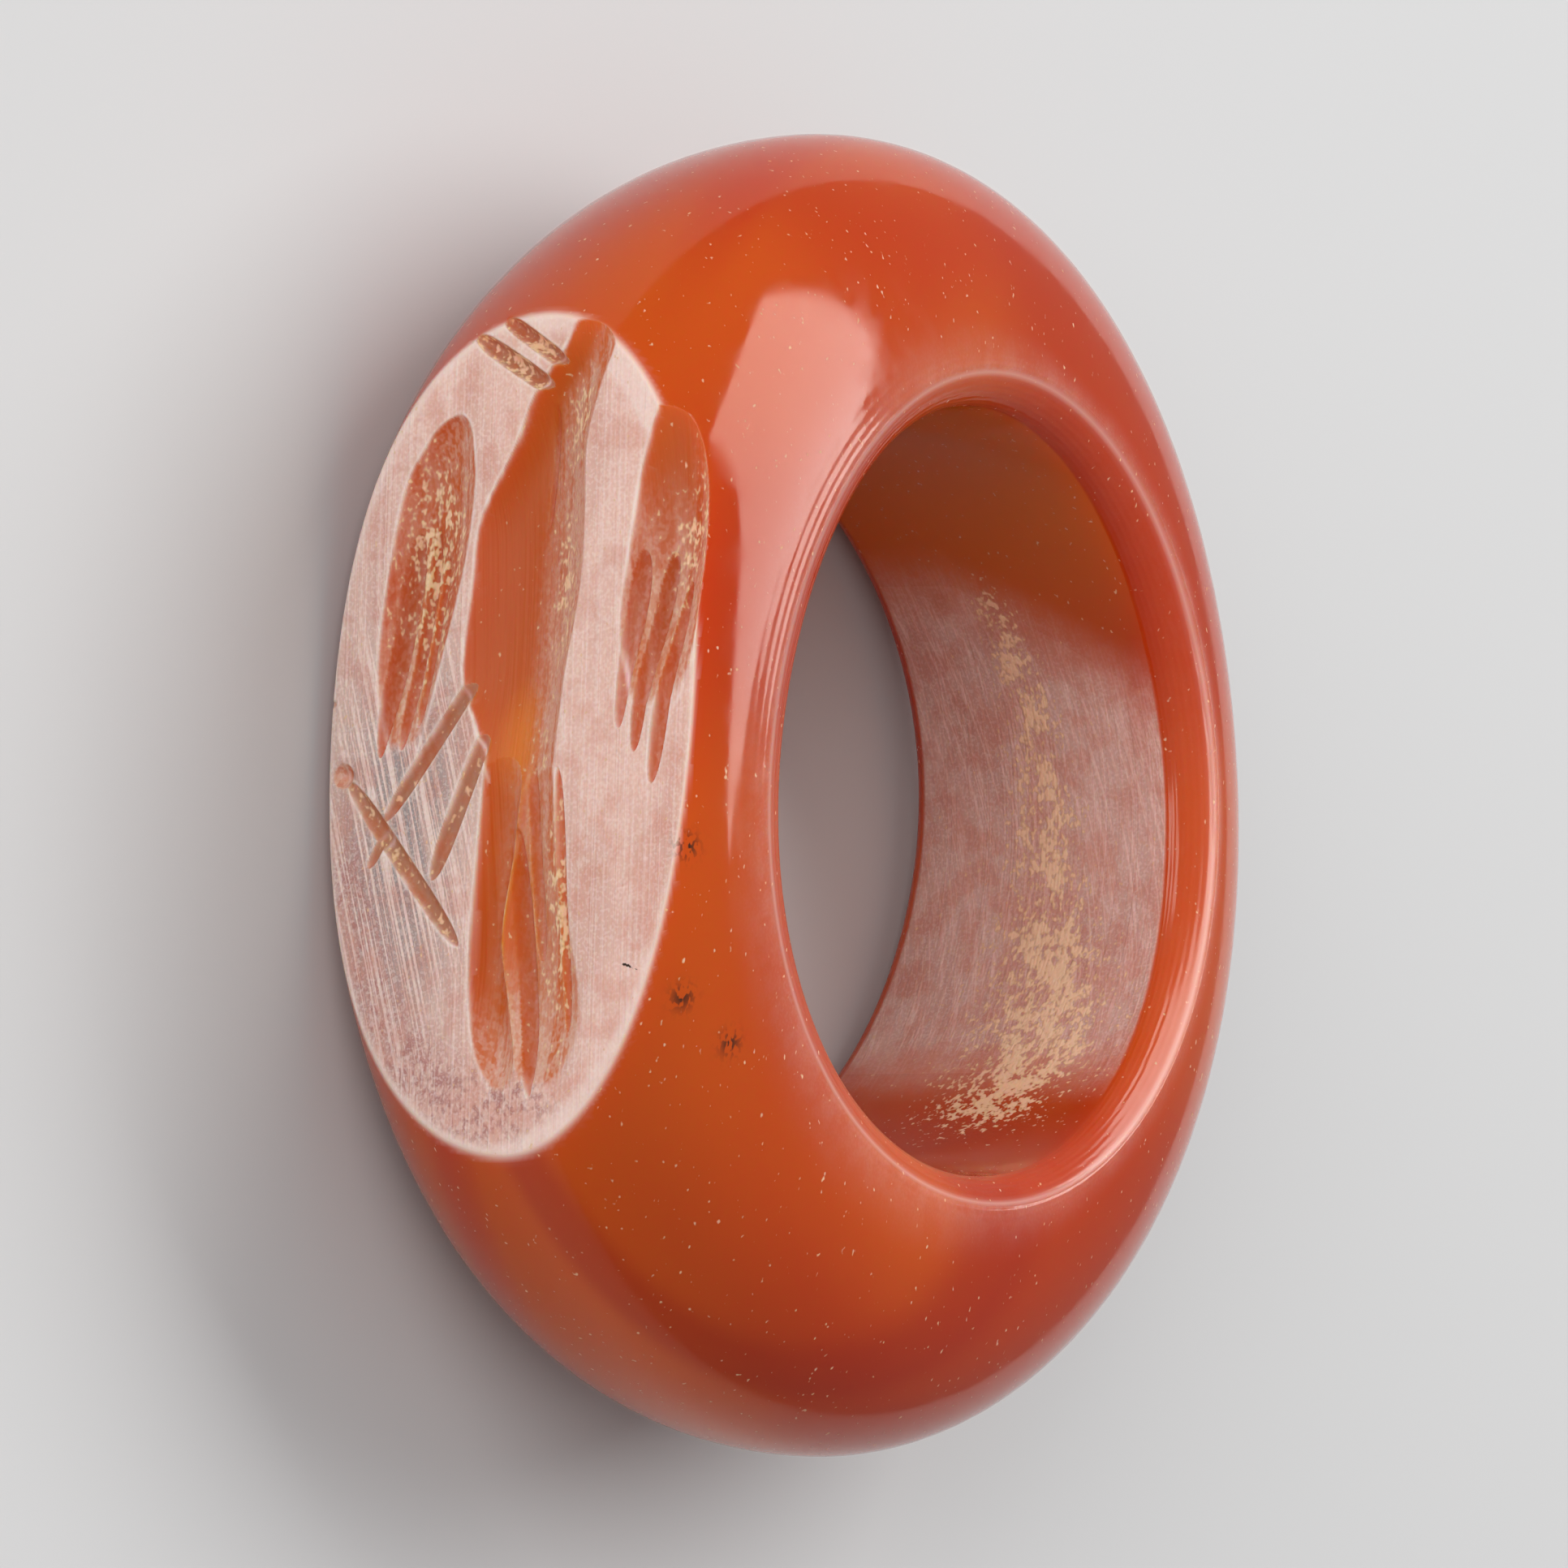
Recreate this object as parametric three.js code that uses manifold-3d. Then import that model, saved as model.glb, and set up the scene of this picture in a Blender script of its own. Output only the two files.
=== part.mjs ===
// One-piece carnelian seal ring, lying on its side with the finger hole upright.
// Millimetres, +Z up. The carved face looks along -Y, and the figure's head points to -X.
import * as THREE from 'three';
import { mergeVertices } from 'three/addons/utils/BufferGeometryUtils.js';
import Module from 'manifold-3d';

const wasm = await Module();
wasm.setup();

// Finger hole
const boreRadius = 7.58;
const boreOffsetFront = -1.07; // hole centre behind the centre of the outside, away from the face
const boreOffsetSide = 0.19;
const boreLeanFront = THREE.MathUtils.degToRad(0.4);
const boreLeanSide = THREE.MathUtils.degToRad(-1.3);
const lipWidth = 0.84;
const lipDepth = 0.64;
const rimOval = 0.016; // the drilled mouth is a little out of round
const rimSkew = -0.013;

// Band around the hole
const wallThickness = 5.21;
const crestFromBore = 0.72; // the tallest line of the band, outside the wall of the hole
const upperHeight = 3.53;
const lowerHeight = 5.05;
const faceSideTaller = 0.216; // how much taller the upper side is at the face than on average
const shoulderSkew = 0.05;
const outlineOval = -0.023;
const outlineSquareness = 0.0035;
const restingTrim = 0.05; // ground off the underside, so that the ring lies still

// Carved face
const faceThickness = 3.28; // from the wall of the hole to the face
const faceTilt = THREE.MathUtils.degToRad(-1.8);

const outerRadius = boreRadius + wallThickness;
const crestRadius = boreRadius + crestFromBore;
const rimRadius = boreRadius + lipWidth;
const faceDistance = boreOffsetFront + boreRadius + faceThickness;
const faceHalf = Math.sqrt(outerRadius ** 2 - faceDistance ** 2);
const blockSize = 4 * outerRadius; // blocks that cut off the flat sides

const turns = 84;
const bandSteps = 8;
const lipSteps = 3;
const scoopStations = 13;
const scoopSteps = 4;
const cutStations = 8;
const cutSteps = 3;
const cutReach = 0.92; // the wheel's run-out ends just short of a point
const knobTurns = 12;
const clearOfStone = 2;

// The figure: a winged standing figure with a staff, cut into the face.
// All its places and depths are thousandths of half the face's length.
// A scoop is a broad hollow. Each row: along, left edge, deepest, right edge, depth.
const scoops = {
  body: [
    [1002, 97, 158, 219, 7],
    [923, 70, 136, 219, 29],
    [813, -12, 44, 177, 58],
    [680, -67, 2, 148, 78],
    [516, -152, -10, 153, 85],
    [352, -169, -15, 151, 85],
    [146, -182, -17, 119, 75],
    [24, -136, -12, 107, 61],
    [-97, -97, -6, 95, 41],
  ],
  leftWing: [
    [771, -243, -228, -214, 4],
    [710, -313, -267, -185, 29],
    [595, -380, -318, -170, 51],
    [413, -413, -346, -189, 61],
    [194, -435, -358, -240, 44],
    [49, -419, -358, -277, 15],
  ],
  rightWing: [
    [850, 370, 437, 546, 24],
    [771, 346, 419, 558, 53],
    [619, 308, 403, 537, 75],
    [437, 284, 391, 520, 78],
    [267, 267, 376, 498, 53],
    [134, 285, 370, 473, 17],
  ],
  skirtLeft: [
    [-61, -102, -44, 15, 49],
    [-255, -112, -56, -10, 61],
    [-473, -120, -68, -27, 63],
    [-631, -113, -58, 5, 53],
    [-753, -87, -36, 32, 32],
    [-826, -44, -10, 34, 6],
  ],
  skirtRight: [
    [-61, -12, 49, 96, 36],
    [-267, -19, 56, 130, 44],
    [-486, 15, 90, 182, 44],
    [-668, 44, 124, 219, 34],
    [-777, 87, 136, 177, 10],
  ],
};

// A cut is one stroke of the wheel: across and along of both ends, width, depth.
const cuts = {
  headUpper: [-119, 996, 80, 872, 44, 41],
  headLower: [-197, 954, 63, 804, 49, 44],
  upperArm: [-115, 170, -388, -197, 44, 39],
  hand: [-370, -209, -427, -306, 27, 19],
  lowerArm: [-97, 24, -240, -338, 51, 41],
  staff: [-500, -97, -152, -495, 49, 32],
  leftFeatherOuter: [-367, 473, -410, -36, 41, 75],
  leftFeatherMiddle: [-316, 473, -347, -17, 41, 73],
  leftFeatherInner: [-270, 413, -299, 36, 36, 56],
  rightFeatherInner: [311, 413, 282, 19, 39, 63],
  rightFeatherMiddle: [369, 401, 330, -36, 41, 73],
  rightFeatherOuter: [432, 328, 386, -112, 46, 73],
  skirtFold: [-27, -231, 78, -844, 44, 87],
  skirtPleat: [10, -85, 66, -510, 41, 68],
  skirtHem: [112, -97, 172, -680, 36, 56],
};
const staffKnob = [-515, -86]; // across, along of the drilled end of the staff
const staffKnobRadius = 31;
const staffKnobDepth = 26;

// Places are worked out as front (towards the face), side (towards the head) and up.
function place(front, side, up) {
  return new THREE.Vector3(-side, -front, up);
}

function outline(angle) {
  return 1 + outlineOval * Math.cos(2 * angle) + outlineSquareness * Math.sin(4 * angle);
}

function sideHeight(angle, upper) {
  if (!upper) return lowerHeight;
  return upperHeight * (1 + faceSideTaller * Math.cos(angle) + shoulderSkew * Math.sin(2 * angle));
}

// Height of the band's rounded side over a place, from the middle plane of the ring.
function bandHeight(front, side, upper) {
  const angle = Math.atan2(side, front);
  const radius = Math.hypot(front, side) / outline(angle);
  const share = THREE.MathUtils.clamp((radius - crestRadius) / (outerRadius - crestRadius), 0, 1);
  const height = sideHeight(angle, upper) * Math.sqrt(1 - share ** 2);
  return upper ? height : -height;
}

function rimPlace(angle) {
  const radius = rimRadius * (1 + rimOval * Math.cos(2 * angle) + rimSkew * Math.sin(2 * angle));
  return [boreOffsetFront + radius * Math.cos(angle), boreOffsetSide + radius * Math.sin(angle)];
}

// Band from the outermost line to the sharp rim of the hole, on one side.
function bandLine(angle, upper) {
  const [rimFront, rimSide] = rimPlace(angle);
  const edgeFront = outerRadius * outline(angle) * Math.cos(angle);
  const edgeSide = outerRadius * outline(angle) * Math.sin(angle);
  const points = [];
  for (let step = 1; step <= bandSteps; step += 1) {
    const share = Math.cos((step / bandSteps) * (Math.PI / 2));
    const front = THREE.MathUtils.lerp(rimFront, edgeFront, share);
    const side = THREE.MathUtils.lerp(rimSide, edgeSide, share);
    points.push(place(front, side, bandHeight(front, side, upper)));
  }
  return points;
}

// Rounded lip from the sharp rim down into the hole, on one side.
function lipLine(angle, upper) {
  const [rimFront, rimSide] = rimPlace(angle);
  const wallFront = boreOffsetFront + boreRadius * Math.cos(angle);
  const wallSide = boreOffsetSide + boreRadius * Math.sin(angle);
  const rimHeight = bandHeight(rimFront, rimSide, upper);
  const points = [];
  for (let step = 1; step <= lipSteps; step += 1) {
    const turn = (step / lipSteps) * (Math.PI / 2);
    const drop = lipDepth * (1 - Math.cos(turn));
    const up = rimHeight - Math.sign(rimHeight) * drop;
    const front = THREE.MathUtils.lerp(rimFront, wallFront, Math.sin(turn));
    const side = THREE.MathUtils.lerp(rimSide, wallSide, Math.sin(turn));
    const leanFront = Math.tan(boreLeanFront) * up * Math.sin(turn);
    const leanSide = Math.tan(boreLeanSide) * up * Math.sin(turn);
    points.push(place(front + leanFront, side + leanSide, up));
  }
  return points;
}

function bandSection(angle) {
  const edge = outerRadius * outline(angle);
  const outermost = place(edge * Math.cos(angle), edge * Math.sin(angle), 0);
  const upper = [...bandLine(angle, true), ...lipLine(angle, true)];
  const lower = [...bandLine(angle, false), ...lipLine(angle, false)];
  return [outermost, ...upper, ...lower.reverse()];
}

// Skin over sections of equal count: joined end to end, or capped at both ends.
function skin(sections, closed) {
  const count = sections[0].length;
  const positions = sections.flat().flatMap((point) => point.toArray());
  const index = [];
  const spans = closed ? sections.length : sections.length - 1;
  for (let i = 0; i < spans; i += 1) {
    const here = i * count;
    const next = ((i + 1) % sections.length) * count;
    for (let j = 0; j < count; j += 1) {
      const k = (j + 1) % count;
      index.push(here + j, here + k, next + k, here + j, next + k, next + j);
    }
  }
  if (!closed) {
    const last = (sections.length - 1) * count;
    for (let j = 1; j < count - 1; j += 1) {
      index.push(0, j + 1, j, last, last + j, last + j + 1);
    }
  }
  const geometry = new THREE.BufferGeometry();
  geometry.setAttribute('position', new THREE.Float32BufferAttribute(positions, 3));
  geometry.setIndex(index);
  return signedVolume(geometry) < 0 ? turnedOver(geometry) : geometry;
}

function signedVolume(geometry) {
  const points = geometry.getAttribute('position');
  const corners = geometry.getIndex().array;
  const [a, b, c] = [new THREE.Vector3(), new THREE.Vector3(), new THREE.Vector3()];
  let volume = 0;
  for (let i = 0; i < corners.length; i += 3) {
    a.fromBufferAttribute(points, corners[i]);
    b.fromBufferAttribute(points, corners[i + 1]);
    c.fromBufferAttribute(points, corners[i + 2]);
    volume += a.dot(b.cross(c)) / 6;
  }
  return volume;
}

function turnedOver(geometry) {
  geometry.setIndex(Array.from(geometry.getIndex().array).reverse());
  return geometry;
}

function toSolid(geometry) {
  geometry.deleteAttribute('normal');
  geometry.deleteAttribute('uv');
  const merged = mergeVertices(geometry, 1e-5);
  const vertProperties = merged.getAttribute('position').array;
  const triVerts = new Uint32Array(merged.getIndex().array);
  return new wasm.Manifold(new wasm.Mesh({ numProp: 3, vertProperties, triVerts }));
}

// Place on the face, or a depth below it. Across runs up the lying ring, along towards the head.
function onFace(across, along, depth) {
  const front = faceDistance + across * Math.sin(faceTilt) - depth * Math.cos(faceTilt);
  const up = across * Math.cos(faceTilt) + depth * Math.sin(faceTilt);
  return place(front, along, up);
}

const ofFace = (thousandths) => (thousandths / 1000) * faceHalf;

// Row of a scoop at a place between its written rows, on a smooth curve through them.
function rowAt(rows, where) {
  const first = Math.min(Math.floor(where), rows.length - 2);
  const t = where - first;
  const pick = (offset) => rows[THREE.MathUtils.clamp(first + offset, 0, rows.length - 1)];
  return pick(0).map((value, k) => {
    const before = pick(-1)[k];
    const after = pick(1)[k];
    const beyond = pick(2)[k];
    const slopeHere = (after - before) / 2;
    const slopeAfter = (beyond - value) / 2;
    const bend = 3 * (after - value) - 2 * slopeHere - slopeAfter;
    const twist = 2 * (value - after) + slopeHere + slopeAfter;
    return value + slopeHere * t + bend * t ** 2 + twist * t ** 3;
  });
}

function scoopCutter(rows) {
  const sections = [];
  for (let station = 0; station < scoopStations; station += 1) {
    const where = (station / (scoopStations - 1)) * (rows.length - 1);
    const [along, left, deepest, right, depth] = rowAt(rows, where).map(ofFace);
    const points = [];
    for (let step = -scoopSteps; step <= scoopSteps; step += 1) {
      const q = 1 - Math.abs(step) / scoopSteps;
      const across = THREE.MathUtils.lerp(step < 0 ? left : right, deepest, q);
      points.push(onFace(across, along, depth * Math.sin(q * (Math.PI / 2))));
    }
    points.push(onFace(right, along, -clearOfStone), onFace(left, along, -clearOfStone));
    sections.push(points);
  }
  return toSolid(skin(sections, false));
}

function wheelCutter(stroke) {
  const [fromAcross, fromAlong, toAcross, toAlong, width, depth] = stroke.map(ofFace);
  const from = new THREE.Vector2(fromAcross, fromAlong);
  const to = new THREE.Vector2(toAcross, toAlong);
  const sideways = to.clone().sub(from).normalize().rotateAround(new THREE.Vector2(), Math.PI / 2);
  const sections = [];
  for (let station = 0; station < cutStations; station += 1) {
    const run = Math.sin(cutReach * (station / (cutStations - 1) - 0.5) * Math.PI);
    const middle = from.clone().lerp(to, (run + 1) / 2);
    const swell = Math.sqrt(1 - run ** 4);
    const points = [];
    for (let step = -cutSteps; step <= cutSteps; step += 1) {
      const q = step / cutSteps;
      const at = middle.clone().addScaledVector(sideways, (q * swell * width) / 2);
      points.push(onFace(at.x, at.y, depth * swell * (1 - q ** 2)));
    }
    for (const q of [1, -1]) {
      const at = middle.clone().addScaledVector(sideways, (q * swell * width) / 2);
      points.push(onFace(at.x, at.y, -clearOfStone));
    }
    sections.push(points);
  }
  return toSolid(skin(sections, false));
}

function knobCutter() {
  const centre = onFace(ofFace(staffKnob[0]), ofFace(staffKnob[1]), 0);
  const geometry = new THREE.SphereGeometry(ofFace(staffKnobRadius), knobTurns, knobTurns / 2);
  geometry.scale(1, staffKnobDepth / staffKnobRadius, 1);
  geometry.translate(centre.x, centre.y, centre.z);
  return toSolid(geometry);
}

function faceCutter() {
  const geometry = new THREE.BoxGeometry(blockSize, blockSize, blockSize);
  geometry.translate(0, -blockSize / 2, 0);
  geometry.rotateX(faceTilt);
  geometry.translate(0, -faceDistance, 0);
  return toSolid(geometry);
}

function undersideCutter() {
  const geometry = new THREE.BoxGeometry(blockSize, blockSize, blockSize);
  geometry.translate(0, 0, -lowerHeight + restingTrim - blockSize / 2);
  return toSolid(geometry);
}

function carvedRing() {
  const sections = Array.from({ length: turns }, (_, i) => bandSection((i / turns) * 2 * Math.PI));
  const cutters = [
    faceCutter(),
    undersideCutter(),
    ...Object.values(scoops).map(scoopCutter),
    ...Object.values(cuts).map(wheelCutter),
    knobCutter(),
  ];
  return cutters.reduce((stone, cutter) => stone.subtract(cutter), toSolid(skin(sections, true)));
}

function toGeometry(solid) {
  const mesh = solid.getMesh();
  const geometry = new THREE.BufferGeometry();
  geometry.setAttribute('position', new THREE.Float32BufferAttribute(mesh.vertProperties, 3));
  geometry.setIndex(Array.from(mesh.triVerts));
  geometry.computeVertexNormals();
  geometry.computeBoundingBox();
  return geometry;
}

const carnelian = new THREE.MeshStandardMaterial({ color: 0xb4420f, roughness: 0.25, metalness: 0 });
const ring = new THREE.Mesh(toGeometry(carvedRing()), carnelian);
ring.name = 'ring';

// The origin is on the ground, under the middle of the ring's box.
const middle = ring.geometry.boundingBox.getCenter(new THREE.Vector3());
ring.position.set(-middle.x, -middle.y, -ring.geometry.boundingBox.min.z);

const model = new THREE.Group();
model.add(ring);

export default model;
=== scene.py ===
import math

import bpy
import numpy as np
from mathutils import Matrix, Vector


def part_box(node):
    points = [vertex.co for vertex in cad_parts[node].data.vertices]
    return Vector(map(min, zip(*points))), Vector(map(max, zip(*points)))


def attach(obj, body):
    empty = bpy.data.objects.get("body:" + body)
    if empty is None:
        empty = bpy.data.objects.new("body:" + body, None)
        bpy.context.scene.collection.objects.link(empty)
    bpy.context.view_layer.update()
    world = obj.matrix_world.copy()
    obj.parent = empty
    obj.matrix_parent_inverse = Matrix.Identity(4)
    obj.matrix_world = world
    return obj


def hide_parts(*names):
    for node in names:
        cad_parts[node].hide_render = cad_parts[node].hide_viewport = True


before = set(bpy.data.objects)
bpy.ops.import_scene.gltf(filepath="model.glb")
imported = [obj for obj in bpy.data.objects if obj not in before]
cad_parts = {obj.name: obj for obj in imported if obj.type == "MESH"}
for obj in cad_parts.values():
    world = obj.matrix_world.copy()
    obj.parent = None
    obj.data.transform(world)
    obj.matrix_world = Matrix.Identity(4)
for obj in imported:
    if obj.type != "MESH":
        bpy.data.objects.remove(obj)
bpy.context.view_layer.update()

MM = 0.001

# Sizes of the ring in millimetres, the same as in the CAD model
BORE_RADIUS = 7.58
BORE_OFFSET_FRONT = -1.07
BORE_OFFSET_SIDE = 0.19
BORE_LEAN_FRONT = math.radians(0.4)
BORE_LEAN_SIDE = math.radians(-1.3)
LIP_WIDTH = 0.84
LIP_DEPTH = 0.64
RIM_OVAL = 0.016
RIM_SKEW = -0.013
WALL_THICKNESS = 5.21
CREST_FROM_BORE = 0.72
UPPER_HEIGHT = 3.53
LOWER_HEIGHT = 5.05
FACE_SIDE_TALLER = 0.216
SHOULDER_SKEW = 0.05
OUTLINE_OVAL = -0.023
OUTLINE_SQUARENESS = 0.0035
RESTING_TRIM = 0.05
FACE_THICKNESS = 3.28
FACE_TILT = math.radians(-1.8)

OUTER_RADIUS = BORE_RADIUS + WALL_THICKNESS
CREST_RADIUS = BORE_RADIUS + CREST_FROM_BORE
RIM_RADIUS = BORE_RADIUS + LIP_WIDTH
FACE_DISTANCE = BORE_OFFSET_FRONT + BORE_RADIUS + FACE_THICKNESS
FACE_HALF = math.sqrt(OUTER_RADIUS**2 - FACE_DISTANCE**2)

# The figure on the face, in thousandths of half the face's length.
# Rows of a scoop: along, left edge, deepest, right edge, depth
SCOOPS = {
    "body": [
        (1002, 97, 158, 219, 7),
        (923, 70, 136, 219, 29),
        (813, -12, 44, 177, 58),
        (680, -67, 2, 148, 78),
        (516, -152, -10, 153, 85),
        (352, -169, -15, 151, 85),
        (146, -182, -17, 119, 75),
        (24, -136, -12, 107, 61),
        (-97, -97, -6, 95, 41),
        (-200, -70, -4, 60, 0),
    ],
    "left_wing": [
        (768, -238, -228, -216, 0),
        (745, -282, -244, -195, 19),
        (700, -322, -272, -182, 32),
        (595, -380, -318, -170, 51),
        (413, -413, -346, -189, 61),
        (194, -435, -358, -240, 44),
        (49, -419, -358, -277, 15),
        (-30, -400, -358, -300, 0),
    ],
    "right_wing": [
        (850, 370, 437, 546, 24),
        (771, 346, 419, 558, 53),
        (619, 308, 403, 537, 75),
        (437, 284, 391, 520, 78),
        (267, 267, 376, 498, 53),
        (134, 285, 370, 473, 17),
        (60, 300, 370, 440, 0),
    ],
    "skirt_left": [
        (20, -90, -40, 10, 0),
        (-61, -102, -44, 15, 46),
        (-255, -112, -56, -10, 61),
        (-473, -120, -68, -27, 63),
        (-631, -113, -58, 5, 53),
        (-753, -87, -36, 32, 32),
        (-840, -35, -12, 26, 0),
    ],
    "skirt_right": [
        (20, -20, 30, 85, 0),
        (-61, -30, 20, 96, 34),
        (-267, -48, -12, 130, 44),
        (-486, -36, 34, 182, 46),
        (-668, -4, 58, 219, 37),
        (-777, 24, 70, 190, 16),
        (-830, 52, 76, 160, 0),
    ],
}

# Strokes of the wheel: across and along of both ends, width, depth
CUTS = {
    "head_upper": (-119, 996, 80, 872, 44, 34),
    "head_lower": (-197, 954, 63, 804, 49, 36),
    "upper_arm": (-115, 170, -388, -197, 44, 26),
    "hand": (-370, -209, -427, -306, 27, 15),
    "lower_arm": (-97, 24, -240, -338, 51, 29),
    "staff": (-500, -97, -152, -495, 49, 26),
}

# Grooves that are cut into the ground of a scoop and run out over the face
GROOVES = {
    "left_feather_outer": (-362, 493, -410, -46, 44, 30),
    "left_feather_middle": (-312, 503, -350, -30, 41, 27),
    "left_feather_inner": (-270, 433, -304, 26, 36, 22),
    "right_feather_inner": (311, 433, 280, 9, 39, 25),
    "right_feather_middle": (369, 431, 328, -46, 44, 30),
    "right_feather_outer": (432, 358, 383, -122, 48, 32),
    "body_line": (14, 790, -12, 500, 16, 8),
    "skirt_fold": (-27, -211, 78, -854, 44, 30),
    "skirt_pleat": (10, -65, 66, -530, 41, 25),
    "skirt_hem": (112, -77, 172, -700, 36, 18),
}

# Round pits and chips: across and along, radius, depth
PITS = {
    "staff_knob": (-515, -86, 31, 26),
    "chip_left": (-556, 86, 10, 7),
    "chip_low_left": (-396, -752, 11, 8),
    "chip_top": (180, 992, 14, 7),
    "wing_pit_upper": (506, 480, 8, 6),
    "wing_pit_lower": (490, 300, 10, 7),
    "face_pit": (316, -359, 6, 3),
}

# How matt the ground of a scoop is: from and to which share of its right side, and how much
SCOOP_FROST = {
    "body": (-0.3, 0.6, 0.75),
    "left_wing": (-1.8, 0.1, 0.6),
    "right_wing": (-0.2, 0.7, 0.6),
    "skirt_left": (-0.7, 0.5, 0.4),
    "skirt_right": (-0.9, 0.8, 0.55),
}
CUT_FROST = 0.4

# How clear the pale line along a hollow's left and right edges is
SCOOP_ARRIS = {
    "body": (1.0, 0.2),
    "left_wing": (0.6, 0.9),
    "right_wing": (1.0, 0.5),
    "skirt_left": (0.6, 0.0),
    "skirt_right": (0.0, 0.15),
}

# Where a hollow turns matt towards its lower end: start and end along the face, and how much
SCOOP_FADES = {
    "right_wing": (5.4, 3.2, 0.5),
    "left_wing": (3.0, 1.0, 0.35),
    "skirt_left": (-4.6, -6.6, 0.8),
    "skirt_right": (-3.8, -6.2, 0.85),
}

# Tan dirt in the carving: middle across and along, half width, half length, amount
DIRT_PATCHES = (
    (-2.5, 3.4, 0.8, 2.3, 1.0),
    (3.6, 3.8, 0.6, 1.3, 0.95),
    (0.6, 2.9, 0.5, 1.9, 0.9),
    (0.8, 6.1, 0.5, 1.1, 0.8),
    (0.25, -0.2, 0.45, 0.5, 0.75),
    (1.1, -3.6, 0.5, 2.4, 0.9),
)

# How much dirt lies in each stroke
CUT_DIRT = {
    "head_upper": 0.85,
    "head_lower": 0.85,
    "staff": 0.5,
    "hand": 0.3,
    "upper_arm": 0.35,
    "lower_arm": 0.35,
}

# Painted glow in the carving (lighter orange stone standing in for light shining through it), and the
# greyer zone of the face, partly painted shade on its side towards the floor: middle across and
# along, half width and half length
PAINTED_GLOW_PATCH = (-0.25, -0.1, 0.55, 1.3)
CARVED_PAINTED_GLOW = 0.3
GREY_AND_PAINTED_SHADE = (-2.8, -1.9, 1.7, 4.2)

# The face's outline as an oval: middle across, half widths across and along
OVAL_MIDDLE = -0.33
OVAL_HALF = (4.43, 8.17)

# Dark specks beside the face and a darker vein in the band: places round the band's middle
SPECKS = ((-2.2, 9.4, 3.9), (-5.05, 8.9, 3.6), (-5.8, 7.6, 3.8))
SPECK_RADIUS = 0.24
HAIR = (311, -538, 382, -558, 5, 1)
VEIN_HEIGHT = 2.95
VEIN_SLOPE = 0.25
VEIN_HALF = 0.55

# The wall of the hole opposite the face: degrees round it, and places along its axis
BORE_MATT_HEIGHTS = (-2.4, 1.5)
BORE_MATT_STARTS = (-40.0, -22.0)
BORE_DIRT_ANGLES = (-40, -20, 0, 12, 22, 35, 60)
BORE_DIRT_MIDDLES = (-1.7, -1.3, -1.0, -0.75, -0.3, 0.1, -0.3)
BORE_DIRT_HALVES = (0.4, 0.55, 0.8, 1.2, 1.7, 1.7, 1.2)
BORE_MATT_SOFT = 9
BORE_MATT_ENDS = (50, 32)
BORE_FROST = 0.85
BORE_WALL = (0.9, 1.0)
BORE_DIRT_STARTS = (-48, -30)
BORE_DIRT_ENDS = (66, 46)
# Painted glow: lighter stone standing in for light shining through the wall, where it starts and ends
BORE_PAINTED_GLOW_STARTS = (-175, -120)
BORE_PAINTED_GLOW_ENDS = (-20, -60)
BORE_DIRT_AMOUNT = 1.25
BORE_GREY = 0.35
# Strength of the painted glow on the wall of the hole
BORE_PAINTED_GLOW = 0.75

# Colours, as linear red, green and blue
STONE_DEEP = (0.43, 0.035, 0.001)
STONE_LIGHT = (0.52, 0.075, 0.003)
STONE_RED = (0.43, 0.023, 0.001)
STONE_VEIN = (0.34, 0.014, 0.001)
# Painted glow: lighter orange that stands in for light shining through the stone
PAINTED_GLOW_COLOUR = (0.66, 0.17, 0.012)
FROST_PINK = (0.67, 0.40, 0.33)
FROST_PALE = (0.77, 0.50, 0.42)
FROST_WHITE = (0.86, 0.70, 0.64)
FROST_GREY = (0.29, 0.25, 0.25)
FROST_RED = (0.42, 0.19, 0.17)
CUT_STAIN = (0.42, 0.21, 0.12)
CARVED_TINT = (0.52, 0.18, 0.06)
SOIL_TAN = (0.88, 0.62, 0.39)
SOIL_BROWN = (0.60, 0.36, 0.19)
SPECK_DARK = (0.03, 0.012, 0.006)

# Places for the noise of the material: stretch along x, y and z from metres, and turn
EVERY_MM = (1000, 1000, 1000)
LAYERS = ((60, 60, 420), (0.25, 0, 0))
BROAD = ((300, 600, 800), (0, 0, 0))
STRAIGHT = ((110, 1200, 15000), (0, 0.03, 0))
SLANTING = ((170, 1200, 15000), (0, 0.3, 0))
STREAKS = ((190, 700, 3000), (0, 0.03, 0))
FINE = ((700, 1000, 1000), (0.5, 0, 0))
GRAIN = ((1000, 1000, 1000), (0.6, 0.4, 0.5))

# Heights of the material's small relief, in millimetres, and how close the turned lines lie
LATHE_HEIGHT = 0.002
WAVE_HEIGHT = 0.0075
SCRATCH_HEIGHT = 0.0245
DIRT_HEIGHT = 0.03
FROST_HEIGHT = 0.009
LIP_TURNS = 52
SIDE_TURNS = 30

# How matt, rough and translucent the parts of the stone are
WORN_FROST = 0.2
LATHE_FROST = 0.03
CARVED_WARMTH = 0.45
# Pale lines on the face's edge and the hole's rim: chipped stone and partly a painted highlight
FACE_EDGE_CHIPS_AND_HIGHLIGHT = 0.7
FACE_RIM_PALE = 0.5
HOLE_RIM_CHIPS_AND_HIGHLIGHT = 0.4
LATHE_GROUND = 0.3
CARVED_GROUND = 0.8
POLISH_ROUGHNESS = (0.06, 0.13)
GROUND_ROUGHNESS = 0.55
CLEAR_SUBSURFACE = 0.75
FROST_SUBSURFACE = 0.25
SUBSURFACE_RADIUS = (1.0, 0.22, 0.05)
SUBSURFACE_DEPTH = 3.0
STONE_IOR = 1.42
SPECULAR_TINT = (1.0, 0.9, 0.8, 1)

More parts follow.
